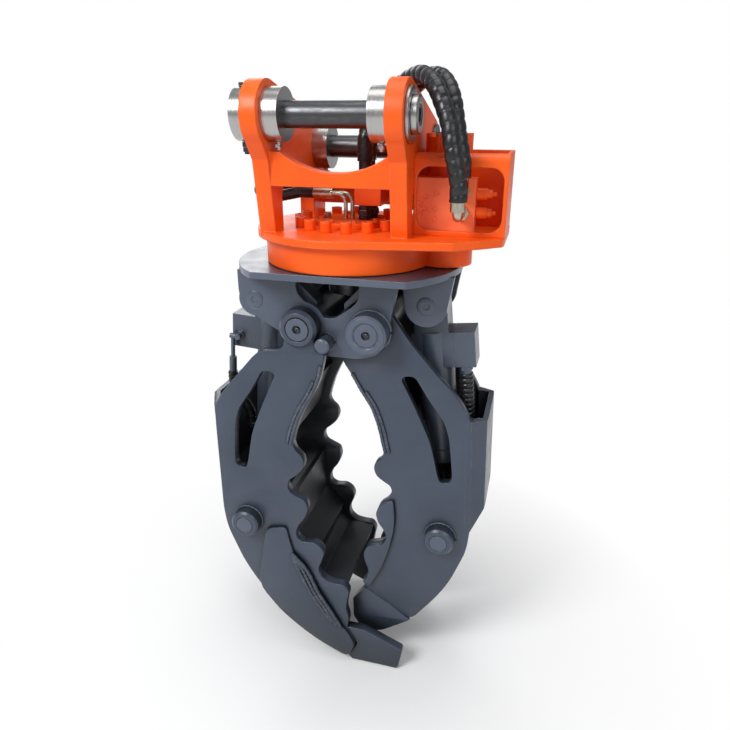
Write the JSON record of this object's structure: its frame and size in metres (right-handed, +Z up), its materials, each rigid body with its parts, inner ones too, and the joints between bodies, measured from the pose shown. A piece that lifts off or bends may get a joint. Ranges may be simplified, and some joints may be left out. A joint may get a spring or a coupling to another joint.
{
  "type": "excavator grapple",
  "caption": "Rotating hydraulic grapple with a hanger for two pins, a slewing ring and two hooked jaws, each moved by its own cylinder.",
  "frame": {"origin": "middle of the stick pin, half way between the ears", "axes": "+X along the stick pin, towards the guard box; +Y to the rear, towards the link pin; +Z up"},
  "size_m": [0.6701, 0.41, 1.4155],
  "materials": {
    "hanger_paint": "semi-gloss orange paint, lightly dusty",
    "head_paint": "semi-gloss dark blue-grey paint",
    "jaw_paint": "dark blue-grey paint, rubbed at the edges",
    "machined_steel": "turned steel, lightly oiled",
    "dark_steel": "blackened steel",
    "bright_steel": "bright machined steel",
    "zinc_plate": "zinc-plated steel",
    "chrome_rod": "hard chrome",
    "bronze": "plain bearing bronze",
    "hose_rubber": "matt black"
  },
  "bodies": {
    "hanger": {"hanger_frame": "hanger_paint", "guard_box": "hanger_paint", "stick_collars": "machined_steel", "link_collars": "machined_steel", "stick_pin": "machined_steel", "link_pin": "machined_steel", "cross_bolts": "dark_steel", "cross_nuts": "bright_steel", "collar_screws": "bright_steel", "ring_cover": "hanger_paint", "inner_race": "bright_steel", "bearing_balls": "bright_steel", "flange_screws": "hanger_paint", "slew_motor": "hanger_paint", "motor_screws": "dark_steel", "swivel_core": "hanger_paint", "swivel_block": "hanger_paint", "swivel_fittings": "dark_steel", "slew_valve": "hanger_paint", "relief_cartridges": "hanger_paint", "valve_fittings": "zinc_plate", "feed_hose_front": "hose_rubber", "feed_hose_rear": "hose_rubber", "hose_ferrules": "zinc_plate", "slew_hose": "hose_rubber", "slew_tubes": "zinc_plate"},
    "pinion": {"drive_pinion": "dark_steel"},
    "head": {"head_frame": "head_paint", "gear_race": "dark_steel", "disc_screws": "head_paint", "swivel_sleeve": "dark_steel", "left_pivot_pin": "head_paint", "right_pivot_pin": "head_paint", "pivot_nipples": "bright_steel", "stop_pin": "head_paint", "left_ram_pin": "head_paint", "right_ram_pin": "head_paint", "ram_spacers": "head_paint"},
    "left_jaw": {"left_jaw": "jaw_paint", "left_tips": "jaw_paint", "left_wear_plates": "jaw_paint", "left_bushes": "bronze", "left_toe_pin": "head_paint"},
    "right_jaw": {"right_jaw": "jaw_paint", "right_tips": "jaw_paint", "right_wear_plates": "jaw_paint", "right_bushes": "bronze", "right_toe_pin": "head_paint"},
    "left_barrel": {"left_barrel": "head_paint", "left_gland": "head_paint", "left_ram_valve": "head_paint", "left_ram_hose": "hose_rubber"},
    "left_rod": {"left_rod": "chrome_rod", "left_piston": "dark_steel"},
    "right_barrel": {"right_barrel": "head_paint", "right_gland": "head_paint", "right_ram_valve": "head_paint", "right_ram_hose": "hose_rubber"},
    "right_rod": {"right_rod": "chrome_rod", "right_piston": "dark_steel"}
  },
  "joints": [
    {"name": "slew", "type": "hinge", "parent": "hanger", "child": "head", "pos_m": [0, 0.143, -0.303], "axis": [0, 0, 1], "continuous": true},
    {"name": "pinion_turn", "type": "hinge", "parent": "hanger", "child": "pinion", "pos_m": [0.21, 0.143, -0.273], "axis": [0, 0, 1], "continuous": true},
    {"name": "left_jaw_open", "type": "hinge", "parent": "head", "child": "left_jaw", "pos_m": [-0.076, 0.143, -0.428], "axis": [0, 1, 0], "range_deg": [0, 50]},
    {"name": "right_jaw_open", "type": "hinge", "parent": "head", "child": "right_jaw", "pos_m": [0.076, 0.143, -0.428], "axis": [0, -1, 0], "range_deg": [0, 50]},
    {"name": "left_ram_swing", "type": "hinge", "parent": "head", "child": "left_barrel", "pos_m": [-0.186, 0.143, -0.379], "axis": [0, 1, 0], "range_deg": [0, 50.4]},
    {"name": "left_ram_stroke", "type": "slide", "parent": "left_barrel", "child": "left_rod", "axis": [-0.0733, 0, -0.9973], "range_m": [-0.1038, 0]},
    {"name": "right_ram_swing", "type": "hinge", "parent": "head", "child": "right_barrel", "pos_m": [0.186, 0.143, -0.379], "axis": [0, -1, 0], "range_deg": [0, 50.8]},
    {"name": "right_ram_stroke", "type": "slide", "parent": "right_barrel", "child": "right_rod", "axis": [0.104, 0, -0.9946], "range_m": [-0.1044, 0]}
  ],
  "couplings": [
    {"joint": "pinion_turn", "follows": "slew", "ratio": -3.6667},
    {"joint": "left_ram_swing", "follows": "left_jaw_open", "ratio": 1.005},
    {"joint": "left_ram_stroke", "follows": "left_jaw_open", "m_per_rad": -0.11838},
    {"joint": "right_ram_swing", "follows": "right_jaw_open", "ratio": 1.012},
    {"joint": "right_ram_stroke", "follows": "right_jaw_open", "m_per_rad": -0.11906}
  ]
}
